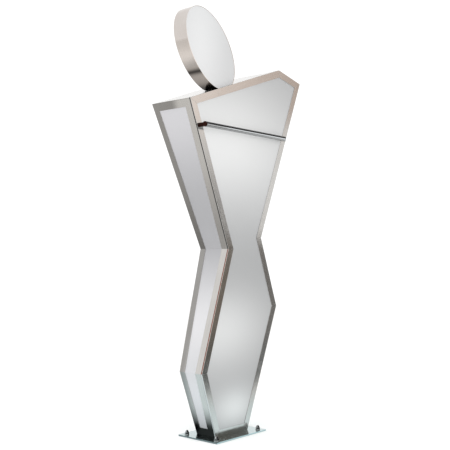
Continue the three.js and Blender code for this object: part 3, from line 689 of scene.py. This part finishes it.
# a hexagon with a dome on it, and the shank down to the CAD bolt's lower end
def makeAnchorBolt(node):
    look = anchorBolt
    low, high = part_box(node)
    x, y = (low[0] + high[0]) / 2, (low[1] + high[1]) / 2
    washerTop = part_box(node.replace("bolt", "washer"))[1][2]
    bottom = washerTop + look["overWasher"]
    hexTop = bottom + look["hexTall"]
    collarTop = hexTop + look["collarTall"]
    corner, chamfer = look["flat"] / cos(pi / look["sides"]), look["chamfer"]
    dome, shank = look["domeRadius"], look["shankRadius"]
    work = bmesh.new()
    turnedOn(work, [(0, bottom), (corner - chamfer / 2, bottom), (corner, bottom + chamfer / 2),
                    (corner, hexTop - chamfer), (corner - chamfer, hexTop), (0, hexTop)], x, y, look["sides"])
    profile = [(0, hexTop), (dome - look["collarSlope"], hexTop), (dome, collarTop)]
    for step in range(1, look["domeSteps"]):
        angle = pi / 2 * step / look["domeSteps"]
        profile.append((dome * cos(angle), collarTop + (high[2] - collarTop) * sin(angle)))
    turnedOn(work, profile + [(0, high[2])], x, y, look["segments"])
    turnedOn(work, [(0, low[2]), (shank, low[2]), (shank, bottom), (0, bottom)], x, y, look["segments"])
    work.faces.layers.float.new("edge")
    # the bolt's dark side is a painted reflection
    standIn(finishMesh(work, node + "_domed", paintedSteps=paintedReflectionSteps["anchor_bolt"]), node)


bolts = ["anchor_bolt_%d" % n for n in (1, 2, 3, 4)]
makeCoverFrame()
print("front cover made")
for name in bolts:
    makeAnchorBolt(name)
print("floor bolts made:", len(bolts))
for name in sorted(set(nodes) - set(bolts) - {"front_cover_frame"}):
    look = settingFor(name)
    work = cleanCopy(name)
    breakEdges(work, look["edge"], look["crease"])
    # the rail gets its painted reflection steps here
    standIn(finishMesh(work, name + "_finished", paintedSteps=paintedReflectionSteps.get(name)), name)
print("CAD nodes replaced:", len(nodes))


studio = {
    "world": 1.15, "aim": (0, 0, 0.9),
    "floor": "#f4f4f3", "floorSize": 14.0, "floorHeight": -0.0005,
    "floorRoughness": (0.5, 0.65), "floorCloudsPerMetre": 3.0,
}
softboxes = {
    "overhead softbox": {"at": (-0.6, 0.2, 3.6), "size": (2.4, 1.6), "power": 22},
    "front softbox": {"at": (-2.6, -3.4, 2.4), "size": (1.6, 1.6), "power": 18},
}
# What reflections see and nothing else does. Each card has its middle, the point it faces, its size,
# and its linear brightness at its right and left edge, seen from the figure. Where there is "low",
# that is the brightness at its foot, which passes into "light" over its height, or over the share
# of its height given as "fade".
cards = {
    "dark room beyond the floor sheet": {
        "at": (1.02, -0.82, 0.44), "face": (0.95, 0.2, 0.44), "size": (1.1, 0.88), "fade": 0.42,
        "light": ((0.235, 0.185, 0.135), (0.27, 0.28, 0.29)), "low": ((0.0, 0.03, 0.04), (0.34, 0.36, 0.37))},
    "brown wall on the right": {
        "at": (2.42, -1.80, 2.26), "face": (0, 0, 2.26), "size": (1.45, 0.83),
        "light": ((1.42, 1.27, 1.18), (0.44, 0.33, 0.27))},
    "grey wall ahead": {
        "at": (2.02, -2.24, 1.33), "face": (0, 0, 1.33), "size": (0.75, 0.84),
        "light": ((1.05, 1.04, 1.03), (1.05, 1.04, 1.03)), "low": ((0.1, 0.1, 0.1), (0.1, 0.1, 0.1))},
}
# the same for the floor: its brightness close to the figure and further off, and one dim patch
floorSheen = {
    "near": (1.0, 1.15, 1.19), "far": (0.92, 0.91, 0.89), "from": 0.5, "to": 1.3,
    "size": 12.0, "height": 0.0008,
    "patch": {"at": (-1.05, 1.25), "reach": (0.75, 0.75), "depth": 0.45},
}


def glossyOnly(thing):
    thing.visible_camera = False
    thing.visible_diffuse = False
    thing.visible_shadow = False


def lightMaterial(name, makeColour):
    material, tree = emptyMaterial(name)
    shader = add(tree, "Emission", None, {"Color": makeColour(tree), "Strength": 1.0})
    add(tree, "OutputMaterial", None, {"Surface": shader.outputs[0]})
    return material


def makeCard(name, look):
    bpy.ops.mesh.primitive_plane_add(size=1)
    card = bpy.context.object
    card.name = name
    card.location = look["at"]
    towards = Vector(look["face"]) - Vector(look["at"])
    card.rotation_euler = towards.to_track_quat("Z", "Y").to_euler()
    card.scale = (look["size"][0], look["size"][1], 1)

    def gradient(tree):
        place = add(tree, "TexCoord").outputs["Object"]
        x, y = add(tree, "SeparateXYZ", None, {0: place}).outputs[:2]
        share = add(tree, "MapRange", None, {0: x, 1: 0.5, 2: -0.5}).outputs[0]
        bands = []
        for lights in (look.get("low", look["light"]), look["light"]):
            right, left = (list(light) + [1.0] for light in lights)
            bands.append(add(tree, "Mix", {"data_type": "RGBA"}, {0: share, 6: right, 7: left}).outputs[2])
        height = add(tree, "MapRange", None, {0: y, 1: -0.5, 2: look.get("fade", 1.0) - 0.5}).outputs[0]
        return add(tree, "Mix", {"data_type": "RGBA"}, {0: height, 6: bands[0], 7: bands[1]}).outputs[2]

    card.data.materials.append(lightMaterial(name, gradient))
    glossyOnly(card)


def makeFloorSheen():
    look, patch = floorSheen, floorSheen["patch"]
    bpy.ops.mesh.primitive_plane_add(size=look["size"], location=(0, 0, look["height"]))
    sheen = bpy.context.object
    sheen.name = "floor in the metal"

    def rings(tree):
        place = add(tree, "TexCoord").outputs["Object"]
        away = add(tree, "VectorMath", {"operation": "LENGTH"}, {0: place}).outputs["Value"]
        share = add(tree, "MapRange", {"interpolation_type": "SMOOTHSTEP"},
                    {0: away, 1: look["from"], 2: look["to"]}).outputs[0]
        colour = add(tree, "Mix", {"data_type": "RGBA"},
                     {0: share, 6: list(look["near"]) + [1.0], 7: list(look["far"]) + [1.0]}).outputs[2]
        centre, sharpness = list(patch["at"]) + [0.0], [1 / size for size in patch["reach"]] + [0.0]
        fade = fadeAround(tree, place, centre, sharpness)
        kept = add(tree, "Math", {"operation": "MULTIPLY_ADD"},
                   {0: fade, 1: -patch["depth"], 2: 1.0}).outputs[0]
        return add(tree, "VectorMath", {"operation": "SCALE"}, {0: colour, "Scale": kept}).outputs[0]

    sheen.data.materials.append(lightMaterial("floor in the metal", rings))
    glossyOnly(sheen)


def makeFloor():
    bpy.ops.mesh.primitive_plane_add(size=studio["floorSize"], location=(0, 0, studio["floorHeight"]))
    floor = bpy.context.object
    floor.name = "floor"
    material, tree = emptyMaterial("painted studio floor")
    place = add(tree, "TexCoord").outputs["Object"]
    cloud = add(tree, "TexNoise", None,
                {"Vector": place, "Scale": studio["floorCloudsPerMetre"], "Detail": 3.0}).outputs["Fac"]
    low, high = studio["floorRoughness"]
    rough = add(tree, "MapRange", None, {0: cloud, 1: noiseLow, 2: noiseHigh, 3: low, 4: high}).outputs[0]
    shader = add(tree, "BsdfPrincipled", None,
                 {"Base Color": linear(studio["floor"]), "Roughness": rough, "IOR": 1.45})
    add(tree, "OutputMaterial", None, {"Surface": shader.outputs[0]})
    floor.data.materials.append(material)


# a softbox lights the figure without showing in the metal
def makeSoftbox(name, look):
    lamp = bpy.data.lights.new(name, "AREA")
    lamp.shape = "RECTANGLE"
    lamp.size, lamp.size_y = look["size"]
    lamp.energy = look["power"]
    box = bpy.data.objects.new(name, lamp)
    box.location = look["at"]
    box.visible_glossy = False
    box.rotation_euler = (Vector(studio["aim"]) - Vector(look["at"])).to_track_quat("-Z", "Y").to_euler()
    scene.collection.objects.link(box)


world = bpy.data.worlds.new("white studio")
scene.world = world
world.use_nodes = True
background = world.node_tree.nodes["Background"]
background.inputs[0].default_value = (1, 1, 1, 1)
background.inputs[1].default_value = studio["world"]
makeFloor()
makeFloorSheen()
for name, look in cards.items():
    makeCard(name, look)
for name, look in softboxes.items():
    makeSoftbox(name, look)

lens = {
    "focal": 61.76, "sensor": 36.0, "shift": (-0.0011, 0.0011),
    "at": (-2.5697, -2.2749, 0.8085), "yaw": 48.68, "pitch": 1.80,
}
camera = bpy.data.objects.new("camera", bpy.data.cameras.new("camera"))
scene.collection.objects.link(camera)
yaw, pitch = radians(lens["yaw"]), radians(lens["pitch"])
forward = Vector((sin(yaw) * cos(pitch), cos(yaw) * cos(pitch), sin(pitch)))
camera.location = lens["at"]
camera.rotation_euler = forward.to_track_quat("-Z", "Y").to_euler()
camera.data.lens = lens["focal"]
camera.data.sensor_width = lens["sensor"]
camera.data.shift_x, camera.data.shift_y = lens["shift"]
camera.data.dof.use_dof = False
scene.camera = camera
print("studio ready")
